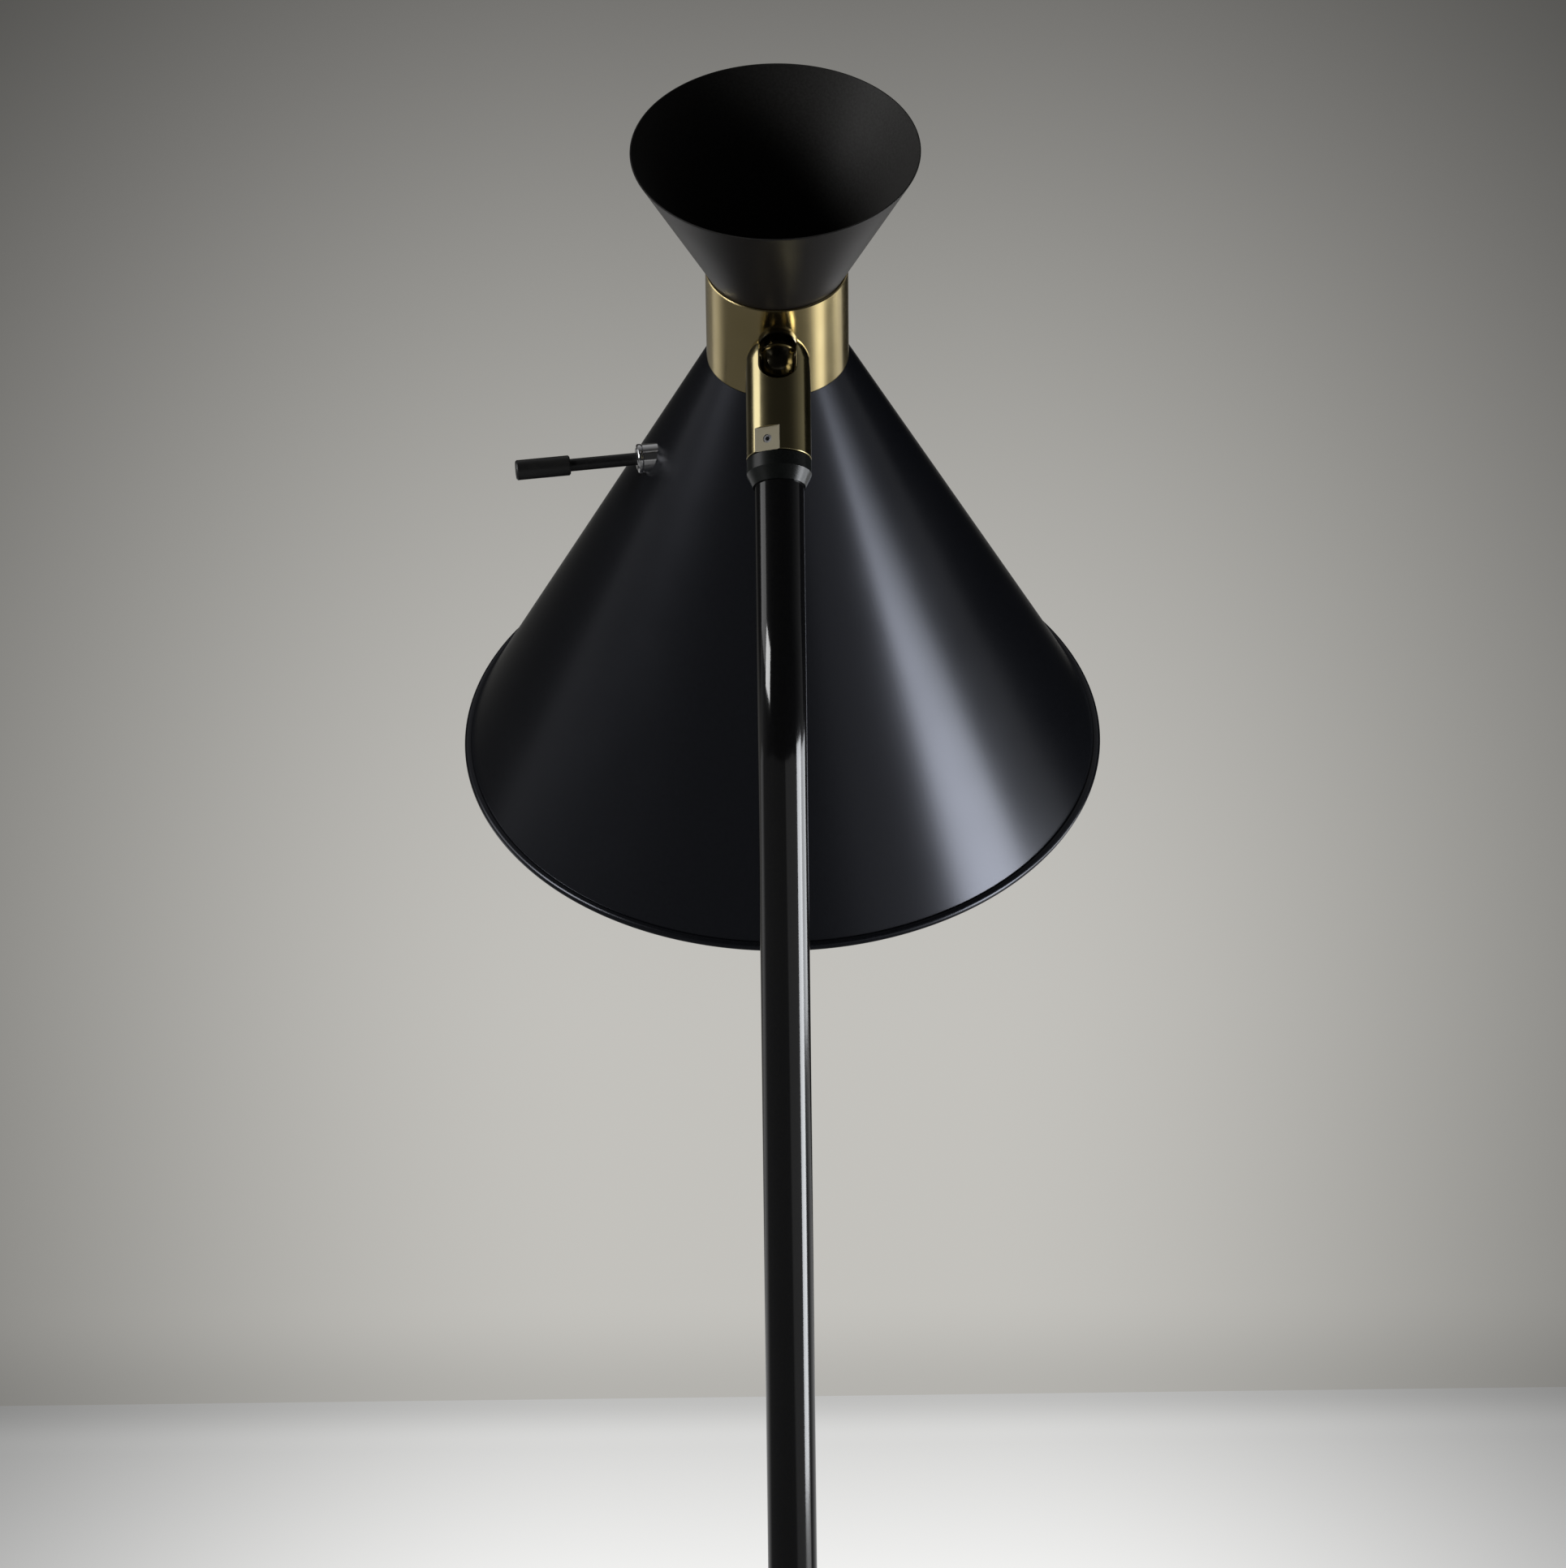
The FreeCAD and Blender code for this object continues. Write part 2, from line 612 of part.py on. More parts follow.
def socket_shell():
    """Lampholder's body with its skirt ring."""
    return on_head(turned([
        (0, HOLDER_SPLIT),
        (HOLDER_RADIUS, HOLDER_SPLIT),
        (HOLDER_RADIUS, HOLDER_MOUTH + 8),
        (HOLDER_RADIUS - 1.2, HOLDER_MOUTH + 7),
        (HOLDER_RADIUS - 1.2, HOLDER_MOUTH),
        (SCREW_SHELL_RADIUS + SNUG, HOLDER_MOUTH),
        (SCREW_SHELL_RADIUS + SNUG, HOLDER_FLOOR),
        (0, HOLDER_FLOOR),
    ]))


def socket_thread():
    return on_head(tube(SCREW_SHELL_RADIUS, CAP_RADIUS + SNUG, HOLDER_MOUTH + 7, HOLDER_FLOOR))


def socket_contact():
    """Sprung tongue behind the bulb's tip."""
    tongue = block((-4, -11, HOLDER_FLOOR - 0.6), (4, 4, HOLDER_FLOOR))
    return on_head(tongue.fuse(rod(3, BULB_TIP, HOLDER_FLOOR - 0.3)).removeSplitter())


def bulb_cap():
    """Threaded metal cap of the bulb with its tip contact."""
    return on_head(turned([
        (0, BULB_TIP),
        (4, BULB_TIP - 0.6),
        (10, BULB_TIP - 3.5),
        (CAP_RADIUS, BULB_TIP - 5),
        (CAP_RADIUS, BULB_TIP - 26),
        (CAP_RADIUS - 1, BULB_TIP - 26),
        (CAP_RADIUS - 1, BULB_TIP - 6),
        (0, BULB_TIP - 4.5),
    ]))


def pear(radius, neck, low, top):
    """A bulb's outline as a solid: a ball with its lowest point at low, drawn out to a neck that ends at top."""
    centre = low + radius
    shoulder = math.radians(35)
    join_radius = radius * math.cos(shoulder)
    join_height = centre + radius * math.sin(shoulder)
    waist = Vector((join_radius + neck) / 2 - 1.6, 0, (join_height + top - 8) / 2)
    edges = [
        Part.Arc(
            Vector(0, 0, low),
            Vector(radius, 0, centre),
            Vector(join_radius, 0, join_height),
        ).toShape(),
        Part.Arc(Vector(join_radius, 0, join_height), waist, Vector(neck, 0, top - 8)).toShape(),
        Part.LineSegment(Vector(neck, 0, top - 8), Vector(neck, 0, top)).toShape(),
        Part.LineSegment(Vector(neck, 0, top), Vector(0, 0, top)).toShape(),
        Part.LineSegment(Vector(0, 0, top), Vector(0, 0, low)).toShape(),
    ]
    return Part.Face(Part.Wire(edges)).revolve(Vector(0, 0, 0), Vector(0, 0, 1), 360)


def bulb_glass():
    low = BULB_TIP - BULB_LENGTH
    top = BULB_TIP - 18
    neck = CAP_RADIUS - 1 - SNUG
    outside = pear(BULB_RADIUS, neck, low, top)
    inside = pear(BULB_RADIUS - GLASS, neck - GLASS, low + GLASS, top + 1)
    return on_head(outside.cut(inside))


# ---------------------------------------------------------------- switch
BUSHING_RADIUS = 4.8
BUSHING_END = SWITCH_WALL + 6.8
SWITCH_BODY_FRONT = SWITCH_WALL - 9
SWITCH_BODY_DEPTH = 15.0
SEAT_RADIUS = 6.6
SEAT_FACE = SWITCH_WALL + 3.8
RING_NUT_RADIUS = 6.8
RING_NUT_TOP = SEAT_FACE + 2.6
RING_NUT_DOME = 1.0
SWITCH_LEAD_RADIUS = 1.3
SWITCH_LEAD_TOP = HOLDER_SPLIT + 6
SWITCH_LEAD_BEND = 6.0
ROD_INNER_END = SWITCH_BODY_FRONT - 4
KNOB_END = SWITCH_WALL + SWITCH_REACH
ROD_OUTER_END = KNOB_END - KNOB_LENGTH / 2


def switch_body():
    """Rotary switch inside the shade's wall."""
    back = SWITCH_BODY_FRONT - SWITCH_BODY_DEPTH
    body = block((-9, -8, back), (9, 8, SWITCH_BODY_FRONT))
    edges = [edge for edge in body.Edges if abs(edge.Vertexes[0].Z - edge.Vertexes[1].Z) > 1]
    body = body.makeFillet(2.0, edges)
    body = body.cut(rod(SWITCH_ROD_RADIUS + 0.4, ROD_INNER_END - 0.5, FAR))
    return on_head(on_switch(body))


def switch_bushing():
    return on_head(on_switch(tube(BUSHING_RADIUS, SWITCH_ROD_RADIUS + RUNNING, SWITCH_BODY_FRONT, BUSHING_END)))


def switch_seat():
    """Wedge washer that squares the switch's nut up to the sloping wall."""
    ring = on_switch(tube(SEAT_RADIUS, BUSHING_RADIUS + SNUG, SWITCH_WALL - 12, SEAT_FACE))
    full_cone = turned([
        (0, BEAD_RADIUS),
        (BEAD_CENTRE, BEAD_RADIUS),
        (COLLAR_RADIUS, SHADE_HEIGHT),
        (0, SHADE_HEIGHT),
    ])
    return on_head(ring.cut(full_cone))


def switch_nut():
    """Round ring nut on the bushing, with a domed rim and two slots for a spanner."""
    ring = tube(RING_NUT_RADIUS, BUSHING_RADIUS + SNUG, SEAT_FACE, RING_NUT_TOP)
    rims = [edge for edge in ring.Edges if edge.BoundBox.XLength > 2 * RING_NUT_RADIUS - 0.1]
    ring = ring.makeFillet(RING_NUT_DOME, [rim for rim in rims if rim.BoundBox.ZLength < 0.1])
    slot = block((-0.6, -FAR, RING_NUT_TOP - 0.8), (0.6, FAR, FAR))
    return on_head(on_switch(ring.cut(slot)))


def switch_rod():
    return on_head(on_switch(rod(SWITCH_ROD_RADIUS, ROD_INNER_END, ROD_OUTER_END)))


def switch_knob():
    """Straight grip on the rod's end with softened edges."""
    low = KNOB_END - KNOB_LENGTH
    edge = 0.6
    body = turned([
        (0, low),
        (KNOB_RADIUS - edge, low),
        (KNOB_RADIUS, low + edge),
        (KNOB_RADIUS, KNOB_END - edge),
        (KNOB_RADIUS - edge, KNOB_END),
        (0, KNOB_END),
    ])
    return on_head(on_switch(body.cut(rod(SWITCH_ROD_RADIUS + SNUG, 0, ROD_OUTER_END + SNUG))))


def lead_side(shape, side, level):
    """One of the pair of leads or their holes: side by side, at a level above the switch's rod."""
    return moved(shape, Vector(level, side * 2.2, 0))


def switch_leads():
    """Two short leads from the lampholder's cap down to the back of the switch."""
    back = SWITCH_BODY_FRONT - SWITCH_BODY_DEPTH
    level = SWITCH_LEAD_TOP - SWITCH_HEIGHT
    route = [
        Vector(level, 0, HOLDER_RADIUS - 2.5),
        Vector(level, 0, HOLDER_RADIUS + 8.5),
        Vector(4, 0, HOLDER_RADIUS + 8.5),
        Vector(4, 0, back),
    ]
    lead = swept(SWITCH_LEAD_RADIUS, route, SWITCH_LEAD_BEND)
    return on_head(group([on_switch(lead_side(lead, side, 0)) for side in (-1, 1)]))


def head_lead():
    """Lead from the ball's stem, over the collar's floor and down the nipple into the lampholder."""
    stem_mouth = STEM_END - PIVOT_OFFSET
    route = [
        Vector(0, stem_mouth - 20, PIVOT_AXIAL),
        Vector(0, 0, PIVOT_AXIAL),
        Vector(0, 0, HOLDER_TOP - 12),
    ]
    return on_head(swept(LEAD_RADIUS, route, 15.0))


# ---------------------------------------------------------------- assembly
def build():
    pieces = {
        "hub_body": hub_body(),
        "leg_screws": leg_screws(),
        "hub_nipple": hub_nipple(),
        "hub_nut": hub_nut(),
        "pole_foot": pole_foot(),
        "cord_gland": cord_gland(),
        "pole_lower": pole_lower(),
        "pole_coupler": pole_coupler(),
        "pole_upper": pole_upper(),
        "pole_lead": pole_lead(),
        "neck_ferrule": neck_ferrule(),
        "swivel_sleeve": swivel_sleeve(),
        "stop_screw": stop_screw(),
        "pivot_screw": pivot_screw(),
        "pivot_nut": pivot_nut(),
        "friction_washers": friction_washers(),
        "swivel_ball": swivel_ball(),
        "stem_nut": stem_nut(),
        "collar": collar(),
        "collar_floor": collar_floor(),
        "collar_bridge": collar_bridge(),
        "top_cone": top_cone(),
        "cone_screw": cone_screw(),
        "shade": shade(),
        "holder_nipple": holder_nipple(),
        "holder_nut": holder_nut(),
        "socket_cap": socket_cap(),
        "socket_shell": socket_shell(),
        "socket_thread": socket_thread(),
        "socket_contact": socket_contact(),
        "bulb_cap": bulb_cap(),
        "bulb_glass": bulb_glass(),
        "switch_body": switch_body(),
        "switch_bushing": switch_bushing(),
        "switch_seat": switch_seat(),
        "switch_nut": switch_nut(),
        "switch_rod": switch_rod(),
        "switch_knob": switch_knob(),
        "switch_leads": switch_leads(),
        "head_lead": head_lead(),
    }
    for name, turn in LEG_TURNS.items():
        pieces["leg_" + name] = leg(turn)
        pieces["foot_" + name] = foot(turn)
    return pieces


def centring(pieces):
    """The shift that puts the origin on the floor under the middle of the lamp's box."""
    box = group(list(pieces.values())).optimalBoundingBox()
    return Vector(-(box.XMin + box.XMax) / 2, -(box.YMin + box.YMax) / 2, 0)


def main():
    os.makedirs("parts", exist_ok=True)
    pieces = build()
    shift = centring(pieces)
    for name, shape in pieces.items():
        moved(shape, shift).exportStep("parts/" + name + ".step")
    print("pieces", len(pieces), "origin shift", shift)


main()
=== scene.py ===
import json
import math

import bmesh
import bpy
from mathutils import Matrix, Vector


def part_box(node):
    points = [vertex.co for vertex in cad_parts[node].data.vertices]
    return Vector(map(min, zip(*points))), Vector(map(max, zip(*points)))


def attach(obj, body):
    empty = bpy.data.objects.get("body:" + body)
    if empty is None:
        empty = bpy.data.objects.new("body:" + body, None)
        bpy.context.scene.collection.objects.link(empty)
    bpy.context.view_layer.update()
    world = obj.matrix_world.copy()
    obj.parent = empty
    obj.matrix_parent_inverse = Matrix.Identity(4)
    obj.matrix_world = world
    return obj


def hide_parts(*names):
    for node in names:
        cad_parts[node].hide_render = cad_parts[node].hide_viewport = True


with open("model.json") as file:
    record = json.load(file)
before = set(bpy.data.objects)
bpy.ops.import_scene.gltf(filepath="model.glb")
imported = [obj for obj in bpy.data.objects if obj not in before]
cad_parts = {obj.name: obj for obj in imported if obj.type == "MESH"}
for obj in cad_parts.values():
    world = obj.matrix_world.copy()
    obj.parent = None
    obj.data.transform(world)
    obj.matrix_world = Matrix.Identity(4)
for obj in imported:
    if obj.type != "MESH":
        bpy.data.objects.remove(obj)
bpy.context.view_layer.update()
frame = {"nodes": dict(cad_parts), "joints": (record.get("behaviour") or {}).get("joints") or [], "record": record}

# Tripod floor lamp, seen from the pole's side and a little from above. Lengths of the lamp's own pieces are
# in millimetres in their own frames, and each piece's place turns them into metres in the row frame.

# ---------------------------------------------------------------- sizes
MM = 0.001
SLICES = 256
ARC_STEPS = 6
SHARP_ANGLE = math.radians(38)

SHADE_TILT = math.radians(31)
PIVOT_OFFSET = 47.6
PIVOT_AXIAL = 264.9

MOUTH_RADIUS = 150.0
SHADE_HEIGHT = 233.5
BEAD_RADIUS = 2.2
SHEET = 0.8
COLLAR_RADIUS = 32.5
COLLAR_WALL = 1.2
COLLAR_HEIGHT = 50.0
STEM_HOLE_RADIUS = 5.05

TOP_RIM_RADIUS = 65.7
TOP_RIM_HEIGHT = 349.8
TOP_CONE_FLOOR = 274.0
TOP_CONE_SCREW_RADIUS = 2.55

POLE_RADIUS = 11.1
POLE_BORE = 9.9
BEND_RADIUS = 120.0
POLE_TOP_DROP = 49.9
TUBE_EDGE = 0.3

LEG_RADIUS = 8.0
LEG_BORE = 6.8
LEG_SPLAY = math.radians(26)
FOOT_RADIUS = 10.5
FOOT_GRIP = 13.0
FOOT_CAP = 8.6

FLAT_DISTANCE = 13.4
FLAT_TOP = -34.9
FLAT_MARGIN = 0.1

# ---------------------------------------------------------------- places, from the frame
JOINTS = {joint["name"]: joint for joint in frame["joints"]}
PIVOT = Vector(JOINTS["shade_tilt"]["pos_m"])
NECK_AXIS = Vector(JOINTS["neck_swivel"]["axis"])
HEAD = (
    Matrix.Translation(PIVOT)
    @ Matrix.Rotation(SHADE_TILT, 4, "X")
    @ Matrix.Scale(MM, 4)
    @ Matrix.Translation((0, PIVOT_OFFSET, -PIVOT_AXIAL))
)


def middle(node):
    low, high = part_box(node)
    return (low + high) / 2


POLE_AXIS = middle("pole_lower")


# ---------------------------------------------------------------- meshes
def rounded(outline):
    """The outline's corners, each (radius, height, rounding), with every rounding worked out as an arc."""
    points = []
    for k, (radius, height, rounding) in enumerate(outline):
        corner = Vector((radius, height))
        if rounding == 0:
            points.append(corner)
            continue
        before = (Vector(outline[k - 1][:2]) - corner).normalized()
        after = (Vector(outline[(k + 1) % len(outline)][:2]) - corner).normalized()
        half = before.angle(after) / 2
        reach = rounding / math.tan(half)
        centre = corner + (before + after).normalized() * rounding / math.sin(half)
        start = corner + before * reach - centre
        end = corner + after * reach - centre
        turn = start.angle(end) * (1 if start.cross(end) > 0 else -1)
        for step in range(ARC_STEPS + 1):
            points.append(centre + Matrix.Rotation(turn * step / ARC_STEPS, 2) @ start)
    return points


def lathe(points, slices=SLICES):
    """A closed mesh turned about +Z from a closed run of (radius, height) points."""
    mesh = bmesh.new()
    rings = []
    for radius, height in points:
        if radius < 1e-6:
            rings.append([mesh.verts.new((0, 0, height))])
            continue
        ring = []
        for k in range(slices):
            turn = 2 * math.pi * k / slices
            ring.append(mesh.verts.new((radius * math.cos(turn), radius * math.sin(turn), height)))
        rings.append(ring)
    for lower, upper in zip(rings, rings[1:] + rings[:1]):
        if len(lower) == 1 and len(upper) == 1:
            continue
        for k in range(slices):
            corners = [
                lower[k % len(lower)],
                lower[(k + 1) % len(lower)],
                upper[(k + 1) % len(upper)],
                upper[k % len(upper)],
            ]
            mesh.faces.new(dict.fromkeys(corners))
    bmesh.ops.recalc_face_normals(mesh, faces=mesh.faces)
    return mesh


def piece(name, mesh, place, materials, body, nodes):
    """A bmesh made into a smooth piece in its place, which rides on a body and stands for its CAD nodes."""
    data = bpy.data.meshes.new(name)
    mesh.to_mesh(data)
    mesh.free()
    data.transform(place)
    data.shade_smooth()
    data.set_sharp_from_angle(angle=SHARP_ANGLE)
    for material in materials:
        data.materials.append(material)
    made = bpy.data.objects.new(name, data)
    bpy.context.scene.collection.objects.link(made)
    weighted = made.modifiers.new("weighted normals", "WEIGHTED_NORMAL")
    weighted.keep_sharp = True
    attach(made, body)
    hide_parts(*nodes)
    return made


# ---------------------------------------------------------------- materials
class Surface:
    """A procedural material built up round one Principled shader. Its patterns lie in the row frame."""

    def __init__(self, name, colour, roughness, metallic=0.0, **constants):
        self.material = bpy.data.materials.new(name)
        self.material.use_nodes = True
        self.nodes = self.material.node_tree.nodes
        self.links = self.material.node_tree.links
        self.shader = self.nodes["Principled BSDF"]
        self.shader.inputs["Base Color"].default_value = (*colour, 1)
        self.shader.inputs["Roughness"].default_value = roughness
        self.shader.inputs["Metallic"].default_value = metallic
        for socket, value in constants.items():
            self.shader.inputs[socket.replace("_", " ")].default_value = value
        self.normal = None

    def pattern(self, scale, detail=3.0, stretch=(1, 1, 1), turn=0.0, centre=(0, 0, 0)):
        """Noise, scale cells a metre. turn tips its frame about +X, stretch scales that frame's axes."""
        place = self.nodes.new("ShaderNodeTexCoord")
        shift = self.nodes.new("ShaderNodeVectorMath")
        shift.operation = "SUBTRACT"
        shift.inputs[1].default_value = centre
        tip = self.nodes.new("ShaderNodeMapping")
        tip.inputs["Rotation"].default_value = (-turn, 0, 0)
        spread = self.nodes.new("ShaderNodeMapping")
        spread.inputs["Scale"].default_value = stretch
        noise = self.nodes.new("ShaderNodeTexNoise")
        noise.inputs["Scale"].default_value = scale
        noise.inputs["Detail"].default_value = detail
        self.links.new(place.outputs["Object"], shift.inputs[0])
        self.links.new(shift.outputs[0], tip.inputs["Vector"])
        self.links.new(tip.outputs[0], spread.inputs["Vector"])
        self.links.new(spread.outputs[0], noise.inputs["Vector"])
        return noise.outputs["Fac"]

    def spread(self, pattern, low, high, start=0.3, end=0.7):
        """A pattern's middle range, from start to end, made into low to high."""
        spread = self.nodes.new("ShaderNodeMapRange")
        spread.inputs["From Min"].default_value = start
        spread.inputs["From Max"].default_value = end
        spread.inputs["To Min"].default_value = low
        spread.inputs["To Max"].default_value = high
        self.links.new(pattern, spread.inputs["Value"])
        return spread.outputs["Result"]

    def colours(self, pattern, low, high):
        """Base colour from low to high over the pattern's middle range."""
        mix = self.nodes.new("ShaderNodeMix")
        mix.data_type = "RGBA"
        mix.inputs["A"].default_value = (*low, 1)
        mix.inputs["B"].default_value = (*high, 1)
        self.links.new(self.spread(pattern, 0, 1), mix.inputs["Factor"])
        self.links.new(mix.outputs["Result"], self.shader.inputs["Base Color"])
        return self

    def roughness(self, pattern, low, high):
        self.links.new(self.spread(pattern, low, high), self.shader.inputs["Roughness"])
        return self

    def relief(self, pattern, depth):
        """Adds a height pattern, depth in metres from its lowest to its highest, over any already there."""
        bump = self.nodes.new("ShaderNodeBump")
        bump.inputs["Distance"].default_value = depth
        self.links.new(pattern, bump.inputs["Height"])
        if self.normal:
            self.links.new(self.normal, bump.inputs["Normal"])
        self.normal = bump.outputs["Normal"]
        self.links.new(self.normal, self.shader.inputs["Normal"])
        return self


def coated(name, low, high, smooth, rough, peel, **constants):
    """Sprayed paint: soft smudges in its gloss, a fine speckle, and an orange peel of the given depth."""
    made = Surface(name, high, rough, **constants)
    made.colours(made.pattern(900, 1), low, high)
    made.roughness(made.pattern(16, 2), smooth, rough)
    made.relief(made.pattern(650, 1), peel)
    return made


def turned_metal(name, low, high, smooth, rough, turn, centre, lines, **constants):
    """Metal turned about an axis tipped by turn: fine rings along the axis, soft tarnish and smudges."""
    made = Surface(name, high, rough, metallic=1.0, **constants)
    made.colours(made.pattern(28, 2), low, high)
    made.roughness(made.pattern(45, 2), smooth, rough)
    made.relief(made.pattern(9, 1, stretch=(1, 1, 380), turn=turn, centre=centre), lines)
    return made


def moulded(name, low, high, smooth, rough, grain, grain_scale):
    made = Surface(name, high, rough)
    made.colours(made.pattern(60, 4), low, high)
    made.roughness(made.pattern(160, 3), smooth, rough)
    made.relief(made.pattern(grain_scale, 2), grain)
    return made


def plated(name, low, high, smooth, rough):
    """Plated or bare steel: cloudy colour and tiny scratches."""
    made = Surface(name, high, rough, metallic=1.0)
    made.colours(made.pattern(180, 4), low, high)
    made.roughness(made.pattern(300, 4), smooth, rough)
    made.relief(made.pattern(500, 3, stretch=(1, 6, 1)), 0.00001)
    return made


NECK_LEAN = -math.atan2(NECK_AXIS.y, NECK_AXIS.z)

shade_outside = coated(
    "shade_satin_black", (0.0035, 0.0038, 0.005), (0.0055, 0.006, 0.0078), 0.24, 0.27, 0.000004,
    Specular_Tint=(0.835, 0.865, 1.0, 1),
)
shade_inside = coated(
    "shade_white_enamel", (0.76, 0.75, 0.72), (0.80, 0.79, 0.76), 0.30, 0.36, 0.00001
)
cone_inside = coated(
    "top_cone_matt_black", (0.028, 0.027, 0.026), (0.037, 0.036, 0.035), 0.46, 0.54, 0.00001,
    Specular_IOR_Level=0.12,
)
opal = coated("opal_glass", (0.86, 0.85, 0.82), (0.92, 0.91, 0.89), 0.12, 0.18, 0.000004, Coat_Weight=0.5)

SURFACES = {
    "shade_black": shade_outside,
    "top_cone_black": coated(
        "top_cone_satin_black", (0.015, 0.013, 0.012), (0.019, 0.017, 0.016), 0.38, 0.44, 0.000004,
        Specular_IOR_Level=0.26,
    ),
    "hub_black": coated(
        "hub_satin_black", (0.014, 0.014, 0.016), (0.020, 0.020, 0.022), 0.32, 0.40, 0.000012
    ),
    "pole_black": coated(
        "pole_gloss_black", (0.0045, 0.0045, 0.005), (0.007, 0.007, 0.0075), 0.09, 0.11, 0.000002
    ),
    "leg_black": coated(
        "leg_gloss_black", (0.008, 0.008, 0.009), (0.013, 0.013, 0.014), 0.12, 0.16, 0.000003
    ),
    "ferrule_black": coated(
        "ferrule_satin_black", (0.007, 0.008, 0.0075), (0.010, 0.0115, 0.011), 0.24, 0.29, 0.000004,
        Specular_IOR_Level=0.3,
    ),
    "screw_black": coated(
        "blackened_screw", (0.014, 0.014, 0.015), (0.022, 0.022, 0.023), 0.30, 0.42, 0.00001
    ),
    "rod_black": coated("rod_black", (0.012, 0.012, 0.013), (0.020, 0.020, 0.021), 0.22, 0.32, 0.000006),
    "knob_black": moulded(
        "knob_black", (0.012, 0.012, 0.012), (0.020, 0.020, 0.020), 0.32, 0.44, 0.00001, 900
    ),
    "plastic_black": moulded(
        "moulded_black", (0.018, 0.018, 0.019), (0.028, 0.028, 0.029), 0.42, 0.56, 0.00003, 1400
    ),
    "holder_plastic": moulded(
        "holder_black", (0.016, 0.015, 0.014), (0.026, 0.024, 0.022), 0.26, 0.38, 0.00001, 700
    ),
    "lead_sheath": moulded(
        "lead_sheath", (0.020, 0.020, 0.020), (0.035, 0.035, 0.035), 0.40, 0.52, 0.00001, 600
    ),
    "washer_fibre": moulded(
        "washer_fibre", (0.16, 0.11, 0.07), (0.28, 0.21, 0.14), 0.70, 0.88, 0.00004, 1600
    ),
    "foot_rubber": moulded(
        "foot_rubber", (0.016, 0.016, 0.016), (0.028, 0.028, 0.028), 0.62, 0.80, 0.00004, 1300
    ),
    "collar_brass": turned_metal(
        "collar_brass", (0.52, 0.42, 0.205), (0.58, 0.475, 0.245), 0.19, 0.24, SHADE_TILT, PIVOT, 0.000003
    ),
    "sleeve_brass": turned_metal(
        "sleeve_brass", (0.48, 0.41, 0.215), (0.55, 0.47, 0.26), 0.15, 0.20, NECK_LEAN, PIVOT, 0.000003
    ),
    # The ball and its stem in dark brass: painted shade for where they sit, down in the sleeve's slot under the
    # collar.
    "ball_brass": turned_metal(
        "ball_brass", (0.075, 0.065, 0.042), (0.11, 0.095, 0.065), 0.16, 0.22, SHADE_TILT, PIVOT, 0.000003
    ),
    "thread_brass": turned_metal(
        "thread_brass", (0.58, 0.45, 0.22), (0.72, 0.58, 0.31), 0.20, 0.34, SHADE_TILT, PIVOT, 0.00001
    ),
    "steel_zinc": plated("zinc_steel", (0.44, 0.45, 0.47), (0.58, 0.59, 0.62), 0.26, 0.40),
    "steel_screw": plated("turned_steel", (0.36, 0.36, 0.37), (0.50, 0.50, 0.51), 0.22, 0.36),
    "bulb_cap_metal": plated("cap_aluminium", (0.66, 0.66, 0.67), (0.78, 0.78, 0.79), 0.28, 0.42),
    "switch_chrome": plated("chrome", (0.86, 0.86, 0.88), (0.92, 0.92, 0.93), 0.10, 0.16),
    "bulb_opal": opal,
}


FLAT_COLOUR_WITH_PAINTED_REFLECTION = (0.33, 0.30, 0.22, 1)
FLAT_ROUGHNESS = 0.42


def enabled(sockets, name):
    """The socket of a mix node that its data type uses, among those that share its name."""
    return next(item for item in sockets if item.name == name and item.enabled)


def milled_flat_with_painted_reflection(sleeve):
    """Matt milling over the small flat low on the sleeve, in a paler colour that is partly painted reflection of
    brighter light.
    """
    outward = middle("stop_screw") - PIVOT
    outward -= outward.dot(NECK_AXIS) * NECK_AXIS
    outward.normalize()
    nodes, links = sleeve.nodes, sleeve.links
    place = nodes.new("ShaderNodeTexCoord")
    shift = nodes.new("ShaderNodeVectorMath")
    shift.operation = "SUBTRACT"
    shift.inputs[1].default_value = PIVOT
    links.new(place.outputs["Object"], shift.inputs[0])
    limits = [(outward, "COMPARE", FLAT_DISTANCE), (NECK_AXIS, "LESS_THAN", FLAT_TOP)]
    tests = []
    for direction, operation, limit in limits:
        along = nodes.new("ShaderNodeVectorMath")
        along.operation = "DOT_PRODUCT"
        along.inputs[1].default_value = direction
        links.new(shift.outputs[0], along.inputs[0])
        test = nodes.new("ShaderNodeMath")
        test.operation = operation
        test.inputs[1].default_value = limit * MM
        test.inputs[2].default_value = FLAT_MARGIN * MM
        links.new(along.outputs["Value"], test.inputs[0])
        tests.append(test.outputs[0])
    there = nodes.new("ShaderNodeMath")
    there.operation = "MULTIPLY"
    links.new(tests[0], there.inputs[0])
    links.new(tests[1], there.inputs[1])
    # The flat's paler colour is partly painted reflection; its higher roughness is the milled finish.
    finishes = [("Base Color", "RGBA", FLAT_COLOUR_WITH_PAINTED_REFLECTION), ("Roughness", "FLOAT", FLAT_ROUGHNESS)]
    for socket, kind, milled_and_reflected in finishes:
        finish = nodes.new("ShaderNodeMix")
        finish.data_type = kind
        links.new(there.outputs[0], finish.inputs["Factor"])
        target = sleeve.shader.inputs[socket]
        links.new(target.links[0].from_socket, enabled(finish.inputs, "A"))
        enabled(finish.inputs, "B").default_value = milled_and_reflected
        links.new(enabled(finish.outputs, "Result"), target)


def finish_cad_nodes():
    """Every carried-over CAD node gets the finish of its material slot."""
    for part in frame["record"]["subparts"]:
        node = frame["nodes"][part["node"]]
        for slot in node.material_slots:
            slot.material = SURFACES[part["material_slot"]].material


